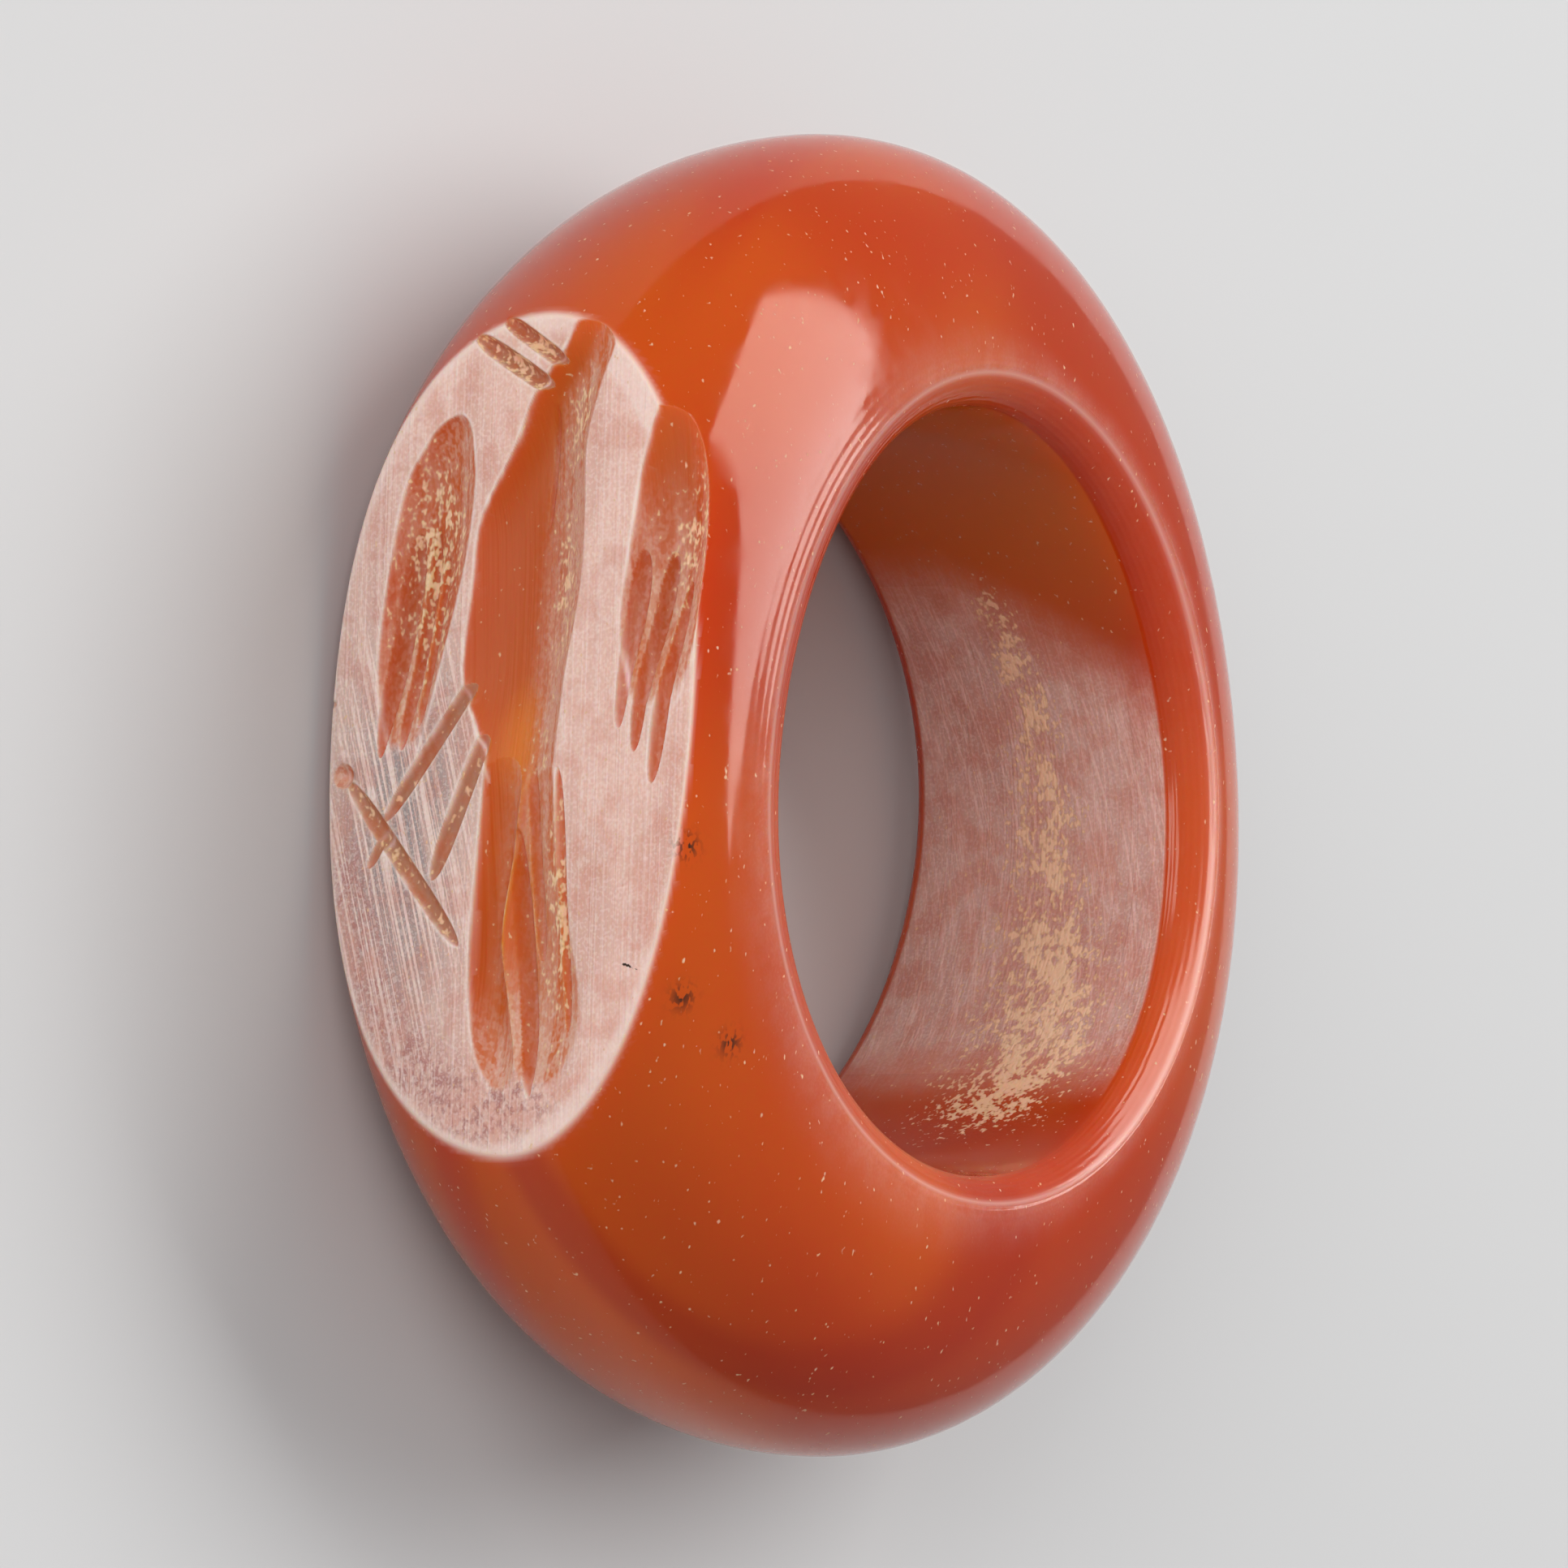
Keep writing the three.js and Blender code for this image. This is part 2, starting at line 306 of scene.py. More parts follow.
# The mesh: a lattice that is fine over the face, whose cells are halved where the shape needs it
FINE_REACH = 8.9
FINE_TURNS = 816
FINE_ROWS = 416
LARGEST_CELL = 16
BAND_CELL = 8
SHAPE_TOLERANCE = 0.004
LOOK_WEIGHT = 0.02
COARSE_TURNS = 180
BAND_SHARE = 0.975
RIM_CLEARANCE = 0.1
SIDE_ROWS = 14
LIP_ROWS = 14
BORE_ROWS = 16
LIP_START = math.radians(24)
FACE_EDGE_ROUND = 0.004
FACE_EDGE_LINE = 0.007
CUT_EDGE_ROUND = 0.03
ARRIS_HALF = 0.045
BEYOND_EDGE = 1.4
INSIDE_BOX = 0.9999
CURVE_POINTS = 400

# Where marks begin and end on the mesh, in millimetres or in shares, and how strong they are
NEAR_FACE = 0.5 * FACE_DISTANCE
FAR_IN_FRONT = 100
CUT_SHOWS = (0.004, 0.045)
LEDGE = 0.12
CUT_ARRIS = 0.7
PIT_FROST = 0.8
CUT_FROST_TURN = 0.6
HAIR_DARK = 1.5
HAIR_FRONT = 0.9 * FACE_DISTANCE
VEIN_STARTS = (5, 9)
RIM_LINE = (0.04, 0.07)
LATHE_STARTS = (0, 0.15)
LATHE_ENDS = (1.0, 0.85)

# Camera: the photo's view of the ring, kept while the ring lies down
CAMERA_DISTANCE = 0.3205
CAMERA_AIM = Vector((-0.164, -1.818, 4.332)) * MM
CAMERA_BACK = Vector((0.10855, -0.78753, 0.60664))
CAMERA_UP = Vector((-0.99277, -0.11738, 0.02527))
CAMERA_SENSOR = 36.0
PHOTO_SIDE = 1932
PIXELS_PER_MM = 62.4
CAMERA_CLIP = (0.01, 10)

# Stage: pale floor, soft surroundings that brighten upwards, and lights of place, size and watts
FLOOR_HALF = 2.0
FLOOR_COLOUR = (0.58, 0.575, 0.57, 1)
FLOOR_ROUGHNESS = 0.7
WORLD_COLOUR = (0.95, 0.97, 1.0, 1)
WORLD_LOW = 0.28
WORLD_HIGH = 0.42
LIGHTS = {
    "window_side": ((-0.177, 0.184, 0.281), (0.38, 0.19), 1.25),
    "front": ((-0.10, -0.34, 0.20), (0.26, 0.26), 1.0),
}
LIGHT_AIM = Vector((0, 0, 4)) * MM


def of_face(thousandths):
    return thousandths / 1000 * FACE_HALF


def outline(angle):
    return 1 + OUTLINE_OVAL * np.cos(2 * angle) + OUTLINE_SQUARENESS * np.sin(4 * angle)


def side_height(angle, upper):
    if not upper:
        return np.full_like(angle, LOWER_HEIGHT)
    return UPPER_HEIGHT * (1 + FACE_SIDE_TALLER * np.cos(angle) + SHOULDER_SKEW * np.sin(2 * angle))


def band_height(front, side, upper):
    angle = np.arctan2(side, front)
    radius = np.hypot(front, side) / outline(angle)
    share = np.clip((radius - CREST_RADIUS) / (OUTER_RADIUS - CREST_RADIUS), 0, 1)
    height = side_height(angle, upper) * np.sqrt(1 - share**2)
    return height if upper else -height


def smooth_min(a, b, size):
    h = np.clip(0.5 + 0.5 * (b - a) / size, 0, 1)
    return b + (a - b) * h - size * h * (1 - h)


def smooth_step(low, high, value):
    t = np.clip((value - low) / (high - low), 0, 1)
    return t * t * (3 - 2 * t)


def band_limit(angle):
    """Share of the side's height at which the outside ends, short of the rim of the hole."""
    rim_radius = np.hypot(*rim_row(angle)) / outline(angle)
    rim_reach = (rim_radius - CREST_RADIUS) / (OUTER_RADIUS - CREST_RADIUS)
    reach = np.maximum(math.sqrt(1 - BAND_SHARE**2), rim_reach + RIM_CLEARANCE)
    return np.sqrt(1 - reach**2)


def band_row(angle, place):
    """Row of the outside, from -1 at the underside to 1 at the upper side."""
    share = place * band_limit(angle)
    reach = CREST_RADIUS + (OUTER_RADIUS - CREST_RADIUS) * np.sqrt(1 - share**2)
    radius = reach * outline(angle)
    up = share * side_height(angle, place > 0)
    return np.stack([radius * np.cos(angle), radius * np.sin(angle), up])


def rim_row(angle):
    radius = RIM_RADIUS * (1 + RIM_OVAL * np.cos(2 * angle) + RIM_SKEW * np.sin(2 * angle))
    return BORE_OFFSET_FRONT + radius * np.cos(angle), BORE_OFFSET_SIDE + radius * np.sin(angle)


def side_rows(angle, upper):
    """Rows over the side of the band, from the outside to the sharp rim of the hole."""
    start = band_row(angle, 1 if upper else -1)
    rim_front, rim_side = rim_row(angle)
    rows = []
    for step in range(1, SIDE_ROWS + 1):
        share = step / SIDE_ROWS
        front = start[0] + (rim_front - start[0]) * share
        side = start[1] + (rim_side - start[1]) * share
        rows.append(np.stack([front, side, band_height(front, side, upper)]))
    return rows


def lip_rows(angle, upper):
    rim_front, rim_side = rim_row(angle)
    rim_up = band_height(rim_front, rim_side, upper)
    wall_front = BORE_OFFSET_FRONT + BORE_RADIUS * np.cos(angle)
    wall_side = BORE_OFFSET_SIDE + BORE_RADIUS * np.sin(angle)
    rows = []
    for step in range(1, LIP_ROWS + 1):
        turn = LIP_START + step / LIP_ROWS * (math.pi / 2 - LIP_START)
        inward = (math.sin(turn) - math.sin(LIP_START)) / (1 - math.sin(LIP_START))
        drop = LIP_DEPTH * (math.cos(LIP_START) - math.cos(turn)) / math.cos(LIP_START)
        up = rim_up - np.sign(rim_up) * drop
        lean_front = math.tan(BORE_LEAN_FRONT) * up * inward
        lean_side = math.tan(BORE_LEAN_SIDE) * up * inward
        front = rim_front + (wall_front - rim_front) * inward + lean_front
        side = rim_side + (wall_side - rim_side) * inward + lean_side
        rows.append(np.stack([front, side, up]))
    return rows


def bore_rows(top, bottom):
    return [top + (bottom - top) * step / BORE_ROWS for step in range(1, BORE_ROWS)]


def ring_rows(angle):
    """Front, side and up of every point: one row after another round the band's section."""
    band = [band_row(angle, place) for place in np.linspace(-1, 1, FINE_ROWS + 1)]
    upper = side_rows(angle, True) + lip_rows(angle, True)
    lower = side_rows(angle, False) + lip_rows(angle, False)
    bore = bore_rows(upper[-1], lower[-1])
    return np.stack(band + upper + bore + lower[::-1])


def lip_shares():
    """How far each row lies from the sharp rim towards the wall of the hole, 0 to 1."""
    lip = [step / LIP_ROWS for step in range(1, LIP_ROWS + 1)]
    bore = [1.0] * (BORE_ROWS - 1)
    outside = [0.0] * (FINE_ROWS + 1 + SIDE_ROWS)
    return np.array(outside + lip + bore + lip[::-1] + [0.0] * SIDE_ROWS)


def worn_shares():
    """How worn each row of the band's sides is: the closer to the rim, the more."""
    side = [(step / SIDE_ROWS) ** 2 for step in range(1, SIDE_ROWS + 1)]
    between = [0.0] * (2 * LIP_ROWS + BORE_ROWS - 1)
    return np.array([0.0] * (FINE_ROWS + 1) + side + between + side[::-1])


def spline(rows):
    """Smooth curve through a scoop's rows, as millimetres, sampled along its length."""
    rows = of_face(np.array(rows, float))
    padded = np.vstack([rows[0], rows, rows[-1]])
    where = np.linspace(0, len(rows) - 1, CURVE_POINTS)
    first = np.minimum(where.astype(int), len(rows) - 2)
    t = (where - first)[:, None]
    before, here, after, beyond = (padded[first + k] for k in range(4))
    slope_here = (after - before) / 2
    slope_after = (beyond - here) / 2
    bend = 3 * (after - here) - 2 * slope_here - slope_after
    twist = 2 * (here - after) + slope_here + slope_after
    return here + slope_here * t + bend * t**2 + twist * t**3


def scoop_depth(rows, across, along):
    """Depth of a broad hollow, and how far across it a point lies, -1 left to 1 right."""
    curve = spline(rows)[::-1]
    left, deepest, right, depth = (np.interp(along, curve[:, 0], curve[:, k]) for k in range(1, 5))
    width = np.maximum(np.where(across < deepest, deepest - left, right - deepest), 1e-6)
    place = np.clip((across - deepest) / width, -BEYOND_EDGE, BEYOND_EDGE)
    inside = (along > curve[0, 0]) & (along < curve[-1, 0])
    from_edge = np.where(inside, np.abs(across - deepest) - width, 1)
    return np.where(inside, depth * np.cos(place * math.pi / 2), -1), place, from_edge


def cut_depth(stroke, across, along):
    """Depth of one stroke of the wheel, how far across it a point lies, and from its edge."""
    from_across, from_along, to_across, to_along, width, depth = (of_face(v) for v in stroke)
    run_across, run_along = to_across - from_across, to_along - from_along
    length = math.hypot(run_across, run_along)
    way = (run_across / length, run_along / length)
    middle = ((from_across + to_across) / 2, (from_along + to_along) / 2)
    run = ((across - middle[0]) * way[0] + (along - middle[1]) * way[1]) / (length / 2)
    swell = np.sqrt(np.clip(1 - run**4, 1e-4, 1))
    sideways = (across - middle[0]) * -way[1] + (along - middle[1]) * way[0]
    q = np.clip(sideways / (swell * width / 2), -BEYOND_EDGE, BEYOND_EDGE)
    from_edge = np.abs(sideways) - swell * width / 2 + (np.abs(run) > 1)
    return np.where(np.abs(run) < 1, depth * swell * (1 - q**2), -1), q, from_edge


def pit_depth(pit, across, along):
    middle_across, middle_along, radius, depth = (of_face(v) for v in pit)
    share = np.hypot(across - middle_across, along - middle_along) / radius
    return depth * (1 - np.minimum(share, BEYOND_EDGE) ** 2)


def patch(across, along, middle_across, middle_along, half_width, half_length):
    """Soft oval patch on the face, 1 in its middle."""
    far = ((across - middle_across) / half_width) ** 2 + ((along - middle_along) / half_length) ** 2
    return np.exp(-far)


def edge_line(from_edge, level):
    """Pale line along a cut's edge, where the cut leaves ground at about the same level."""
    return np.exp(-((from_edge / ARRIS_HALF) ** 2)) * smooth_step(LEDGE, 0.0, np.abs(level))


def carving(across, along):
    """Depth of the carving in millimetres (negative outside it) and the looks of its ground."""
    depth = np.full_like(across, -1)
    matt = np.ones_like(across)
    dirt = np.zeros_like(across)
    arris = np.zeros_like(across)
    stain = np.zeros_like(across)
    for *place, amount in DIRT_PATCHES:
        dirt = np.maximum(dirt, amount * patch(across, along, *place))
    for name, rows in SCOOPS.items():
        found, place, from_edge = scoop_depth(rows, across, along)
        deeper = found > np.maximum(depth, 0)
        arris = np.where(found > LEDGE, 0, arris)
        clear = np.where(place < 0, *SCOOP_ARRIS[name])
        arris = np.maximum(arris, clear * edge_line(from_edge, np.maximum(depth, 0)))
        depth = np.maximum(depth, found)
        low, high, amount = SCOOP_FROST[name]
        scoop_matt = amount * smooth_step(low, high, place)
        if name in SCOOP_FADES:
            start, end, most = SCOOP_FADES[name]
            scoop_matt = np.maximum(scoop_matt, most * smooth_step(start, end, along))
        matt = np.where(deeper, scoop_matt, matt)
    ground = np.maximum(depth, 0)
    for stroke in GROOVES.values():
        found, q, from_edge = cut_depth(stroke, across, along)
        deeper = ground + found > np.maximum(depth, 0)
        arris = np.maximum(arris, CUT_ARRIS * edge_line(from_edge, ground))
        matt = np.where(deeper, np.minimum(matt, CUT_FROST * (1 + CUT_FROST_TURN * q)), matt)
        depth = np.maximum(depth, ground + found)
    for name, stroke in CUTS.items():
        found, q, from_edge = cut_depth(stroke, across, along)
        deeper = found > np.maximum(depth, 0)
        arris = np.maximum(arris, CUT_ARRIS * edge_line(from_edge, np.maximum(depth, 0)))
        matt = np.where(deeper, CUT_FROST * (1 + CUT_FROST_TURN * q), matt)
        dirt = np.where(deeper, np.maximum(dirt, CUT_DIRT[name]), dirt)
        stain = np.where(deeper, 1, stain)
        depth = np.maximum(depth, found)
    for pit in PITS.values():
        found = pit_depth(pit, across, along)
        matt = np.where(found > np.maximum(depth, 0), PIT_FROST, matt)
        depth = np.maximum(depth, found)
    return depth, {"matt": matt, "dirt": dirt, "arris": arris, "stain": stain}


def face_zones(across, along):
    """Looks of the face's flat ground: greyer zone, partly painted shade, pale rim and mottled lower
    left edge.
    """
    reach = np.hypot((across - OVAL_MIDDLE) / OVAL_HALF[0], along / OVAL_HALF[1])
    by_edge = smooth_step(0.72, 0.86, reach) * smooth_step(1.0, 0.94, reach)
    low_left = smooth_step(-0.5, -3.0, along) * smooth_step(2.2, 0.4, across)
    return {
        # Greyer zone of the face, partly painted shade on its side towards the floor
        "grey": patch(across, along, *GREY_AND_PAINTED_SHADE),
        "mottle": by_edge * low_left,
        "face_rim": smooth_step(0.955, 0.985, reach),
    }


def shape_ring(points):
    """Cuts the face, its carving and the flat underside into the smooth band."""
    front, side, up = points
    plane = FACE_DISTANCE + math.tan(FACE_TILT) * up
    near_face = front > NEAR_FACE
    scale = np.where(near_face, plane / np.where(near_face, front, 1), 2)
    kept = smooth_min(np.ones_like(scale), scale, FACE_EDGE_ROUND)
    front, side = front * kept, side * kept
    depth, ground = carving(up, side)
    on_face = smooth_step(1.0 + FACE_EDGE_ROUND, 1.0 - FACE_EDGE_ROUND, scale)
    cut = np.where(near_face, plane - depth, FAR_IN_FRONT)
    carved = smooth_min(front, cut, CUT_EDGE_ROUND)
    real_depth = np.maximum(front - carved, 0) * near_face
    in_cut = smooth_step(*CUT_SHOWS, real_depth)
    zones = face_zones(up, side)
    looks = {name: on_face * (1 - in_cut) * values for name, values in zones.items()}
    looks["frost"] = np.where(near_face, on_face * (1 - in_cut) + ground["matt"] * in_cut, 0)
    looks["carved"] = in_cut
    looks["dirt"] = ground["dirt"] * in_cut
    looks["stain"] = ground["stain"] * in_cut
    looks["arris"] = ground["arris"] * on_face
    # Painted glow in the carving: lighter stone standing in for light shining through it
    looks["painted_glow"] = in_cut * np.maximum(patch(up, side, *PAINTED_GLOW_PATCH), CARVED_PAINTED_GLOW)
    # Pale line along the face's edge, partly a painted highlight
    looks["face_edge"] = near_face * np.exp(-(((scale - 1) / FACE_EDGE_LINE) ** 2)) * (1 - in_cut)
    up = np.maximum(up, RESTING_TRIM - LOWER_HEIGHT)
    return np.stack([np.where(near_face, carved, front), side, up]), looks


def bore_looks(points, lip):
    """Matt ground and tan dirt on the hole's wall opposite the face; painted glow on its clear part.
    """
    front, side, up = points
    around = -np.degrees(np.arctan2(side - BORE_OFFSET_SIDE, -(front - BORE_OFFSET_FRONT)))
    on_wall = smooth_step(*BORE_WALL, lip)[:, None]
    start = np.interp(up, BORE_MATT_HEIGHTS, BORE_MATT_STARTS)
    matt = smooth_step(start - BORE_MATT_SOFT, start + BORE_MATT_SOFT, around)
    frost = BORE_FROST * on_wall * matt * smooth_step(*BORE_MATT_ENDS, around)
    middle = np.interp(around, BORE_DIRT_ANGLES, BORE_DIRT_MIDDLES)
    width = np.interp(around, BORE_DIRT_ANGLES, BORE_DIRT_HALVES)
    dirt = on_wall * np.exp(-(((up - middle) / width) ** 2))
    dirt = dirt * smooth_step(*BORE_DIRT_STARTS, around) * smooth_step(*BORE_DIRT_ENDS, around)
    # Painted glow on the wall's clear part, standing in for light shining through the stone
    clear = smooth_step(*BORE_PAINTED_GLOW_STARTS, around) * smooth_step(*BORE_PAINTED_GLOW_ENDS, around)
    return {
        "frost": frost,
        "dirt": BORE_DIRT_AMOUNT * dirt,
        "grey": BORE_GREY * frost,
        "painted_glow": BORE_PAINTED_GLOW * on_wall * clear,
    }


def stone_marks(points):
    """Dark specks and the vein in the stone, from the points' places."""
    front, side, up = points
    specks = np.zeros_like(up)
    for along, outward, height in SPECKS:
        far = (side - along) ** 2 + (front - outward) ** 2 + (up - height) ** 2
        specks = np.maximum(specks, np.exp(-far / SPECK_RADIUS**2))
    layer = up + VEIN_SLOPE * front
    vein = np.exp(-(((layer - VEIN_HEIGHT) / VEIN_HALF) ** 2)) * smooth_step(*VEIN_STARTS, -side)
    hair = cut_depth(HAIR, up, side)[0] > 0
    specks = np.maximum(specks, HAIR_DARK * hair * (front > HAIR_FRONT))
    return {"specks": specks, "vein": vein}


def halved_cells(points):
    """Cells over the face, as lattice corners: a large one is kept where it is flat enough."""
    cells = []
    open_cells = np.ones((FINE_ROWS // LARGEST_CELL, FINE_TURNS // LARGEST_CELL), bool)
    size = LARGEST_CELL
    while size > 1:
        corners = points[:, : FINE_ROWS + 1 : size, : FINE_TURNS + 1 : size]
        error = np.zeros(open_cells.shape)
        for down in range(size + 1):
            for along in range(size + 1):
                p, q = down / size, along / size
                guess = (
                    corners[:, :-1, :-1] * (1 - p) * (1 - q)
                    + corners[:, 1:, :-1] * p * (1 - q)
                    + corners[:, :-1, 1:] * (1 - p) * q
                    + corners[:, 1:, 1:] * p * q
                )
                rows, turns = open_cells.shape
                real = points[:, down::size, along::size][:, :rows, :turns]
                error = np.maximum(error, np.sqrt(((real - guess) ** 2).sum(0)))
        kept = open_cells & (error <= SHAPE_TOLERANCE)
        row, turn = np.nonzero(kept)
        cells.append(np.stack([row, row + 1, turn, turn + 1], 1) * size)
        open_cells = np.repeat(np.repeat(open_cells & ~kept, 2, 0), 2, 1)
        size //= 2
    row, turn = np.nonzero(open_cells)
    cells.append(np.stack([row, row + 1, turn, turn + 1], 1))
    return np.concatenate(cells)


def plain_cells(row_edges, turn_edges):
    rows, turns = np.meshgrid(np.arange(len(row_edges) - 1), np.arange(len(turn_edges) - 1))
    rows, turns = rows.ravel(), turns.ravel()
    edges = (row_edges[rows], row_edges[rows + 1], turn_edges[turns], turn_edges[turns + 1])
    return np.stack(edges, 1)


def ring_faces(points):
    """Faces over the lattice: each cell's corners, and the smaller neighbours' corners between."""
    row_count, turn_count = points.shape[1:]
    band = np.arange(0, FINE_ROWS + 1, BAND_CELL)
    inner = np.arange(FINE_ROWS, row_count + 1)
    front = np.arange(0, FINE_TURNS + 1, LARGEST_CELL)
    back = np.arange(FINE_TURNS, turn_count + 1)
    parts = [halved_cells(points), plain_cells(band, back)]
    parts += [plain_cells(inner, front), plain_cells(inner, back)]
    cells = np.concatenate(parts)
    used = np.zeros((row_count + 1, turn_count + 1), bool)
    for rows in (cells[:, 0], cells[:, 1]):
        for turns in (cells[:, 2], cells[:, 3]):
            used[rows, turns] = True
    used[0] |= used[-1]
    used[-1] = used[0]
    used[:, 0] |= used[:, -1]
    used[:, -1] = used[:, 0]
    faces = []
    for top, bottom, left, right in cells.tolist():
        along_top = left + np.flatnonzero(used[top, left:right])
        along_right = top + np.flatnonzero(used[top:bottom, right])
        along_bottom = left + 1 + np.flatnonzero(used[bottom, left + 1 : right + 1])[::-1]
        along_left = top + 1 + np.flatnonzero(used[top + 1 : bottom + 1, left])[::-1]
        corners = [(top, turn) for turn in along_top]
        corners += [(row, right) for row in along_right]
        corners += [(bottom, turn) for turn in along_bottom]
        corners += [(row, left) for row in along_left]
        faces.append([r % row_count * turn_count + t % turn_count for r, t in reversed(corners)])
    return faces


def ring_mesh():
    reach = np.linspace(-FINE_REACH, FINE_REACH, FINE_TURNS + 1)
    fine_angles = np.arctan2(reach, FACE_DISTANCE)
    around = np.linspace(fine_angles[-1], fine_angles[0] + 2 * math.pi, COARSE_TURNS + 1)[1:-1]
    points = ring_rows(np.concatenate([fine_angles, around])).transpose(1, 0, 2)
    lip = lip_shares()
    points, looks = shape_ring(points)
    for name, values in bore_looks(points, lip).items():
        looks[name] = np.maximum(looks[name], values)
    looks["lip"] = np.repeat(lip[:, None], points.shape[2], 1)
    # Pale line at the hole's rim, partly a painted highlight
    rim_place, rim_width = RIM_LINE
    looks["rim"] = np.exp(-(((looks["lip"] - rim_place) / rim_width) ** 2)) * (looks["lip"] > 0)
    looks["lathe"] = smooth_step(*LATHE_STARTS, looks["lip"]) * smooth_step(*LATHE_ENDS, looks["lip"])
    looks["worn"] = np.repeat(worn_shares()[:, None], points.shape[2], 1)
    looks.update(stone_marks(points))
    faces = ring_faces(np.concatenate([points, LOOK_WEIGHT * np.stack(list(looks.values()))]))
    used = np.unique(np.concatenate([np.array(face) for face in faces]))
    renumber = np.full(points[0].size, -1)
    renumber[used] = np.arange(len(used))
    faces = [renumber[face].tolist() for face in faces]
    looks = {name: values.ravel()[used] for name, values in looks.items()}
    return points.reshape(3, -1)[:, used], faces, looks


def make_ring():
    box_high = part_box("ring")[1]
    back = OUTER_RADIUS * (1 + OUTLINE_OVAL)
    shift = np.array([0, box_high[1] / MM - back, LOWER_HEIGHT - RESTING_TRIM])
    (front, side, up), faces, looks = ring_mesh()
    places = (np.stack([-side, -front, up], 1) * (INSIDE_BOX, INSIDE_BOX, 1) + shift) * MM
    mesh = bpy.data.meshes.new("carnelian_ring")
    mesh.from_pydata(places.tolist(), [], faces)
    for name, values in looks.items():
        mesh.attributes.new(name, "FLOAT", "POINT").data.foreach_set("value", values)
    mesh.update()
    mesh.shade_smooth()
    ring = bpy.data.objects.new("carnelian_ring", mesh)
    bpy.context.scene.collection.objects.link(ring)
    return ring


def make_camera():
    data = bpy.data.cameras.new("camera")
    data.sensor_width = CAMERA_SENSOR
    data.lens = CAMERA_SENSOR * CAMERA_DISTANCE / MM * PIXELS_PER_MM / PHOTO_SIDE
    data.clip_start, data.clip_end = CAMERA_CLIP
    camera = bpy.data.objects.new("camera", data)
    bpy.context.scene.collection.objects.link(camera)
    back = CAMERA_BACK.normalized()
    right = CAMERA_UP.cross(back).normalized()
    up = back.cross(right)
    turn = Matrix((right, up, back)).transposed().to_4x4()
    camera.matrix_world = Matrix.Translation(CAMERA_AIM + back * CAMERA_DISTANCE) @ turn
    bpy.context.scene.camera = camera


def make_light(name, place, size, power):
    data = bpy.data.lights.new(name, "AREA")
    data.shape = "RECTANGLE"
    data.size, data.size_y = size
    data.energy = power
    light = bpy.data.objects.new(name, data)
    bpy.context.scene.collection.objects.link(light)
    light.location = place
    light.rotation_mode = "QUATERNION"
    light.rotation_quaternion = (LIGHT_AIM - Vector(place)).to_track_quat("-Z", "Y")


def make_world():
    """Soft white studio, darker towards the horizon."""
    world = bpy.data.worlds.new("studio")
    world.use_nodes = True
    tree = world.node_tree
    direction = tree.nodes.new("ShaderNodeTexCoord")
    parts = tree.nodes.new("ShaderNodeSeparateXYZ")
    rising = tree.nodes.new("ShaderNodeMapRange")
    rising.inputs["From Min"].default_value = 0.0
    rising.inputs["From Max"].default_value = 1.0
    rising.inputs["To Min"].default_value = WORLD_LOW
    rising.inputs["To Max"].default_value = WORLD_HIGH
    background = tree.nodes["Background"]
    background.inputs["Color"].default_value = WORLD_COLOUR
    tree.links.new(direction.outputs["Generated"], parts.inputs[0])
    tree.links.new(parts.outputs["Z"], rising.inputs["Value"])
    tree.links.new(rising.outputs["Result"], background.inputs["Strength"])
    return world


def make_floor():
    half = FLOOR_HALF
    corners = [(-half, -half, 0), (half, -half, 0), (half, half, 0), (-half, half, 0)]
    mesh = bpy.data.meshes.new("floor")
    mesh.from_pydata(corners, [], [(0, 1, 2, 3)])
    floor = bpy.data.objects.new("floor", mesh)
    bpy.context.scene.collection.objects.link(floor)
    material = bpy.data.materials.new("floor_pale")
    material.use_nodes = True
    shader = material.node_tree.nodes["Principled BSDF"]
    shader.inputs["Base Color"].default_value = FLOOR_COLOUR
    shader.inputs["Roughness"].default_value = FLOOR_ROUGHNESS
    floor.data.materials.append(material)


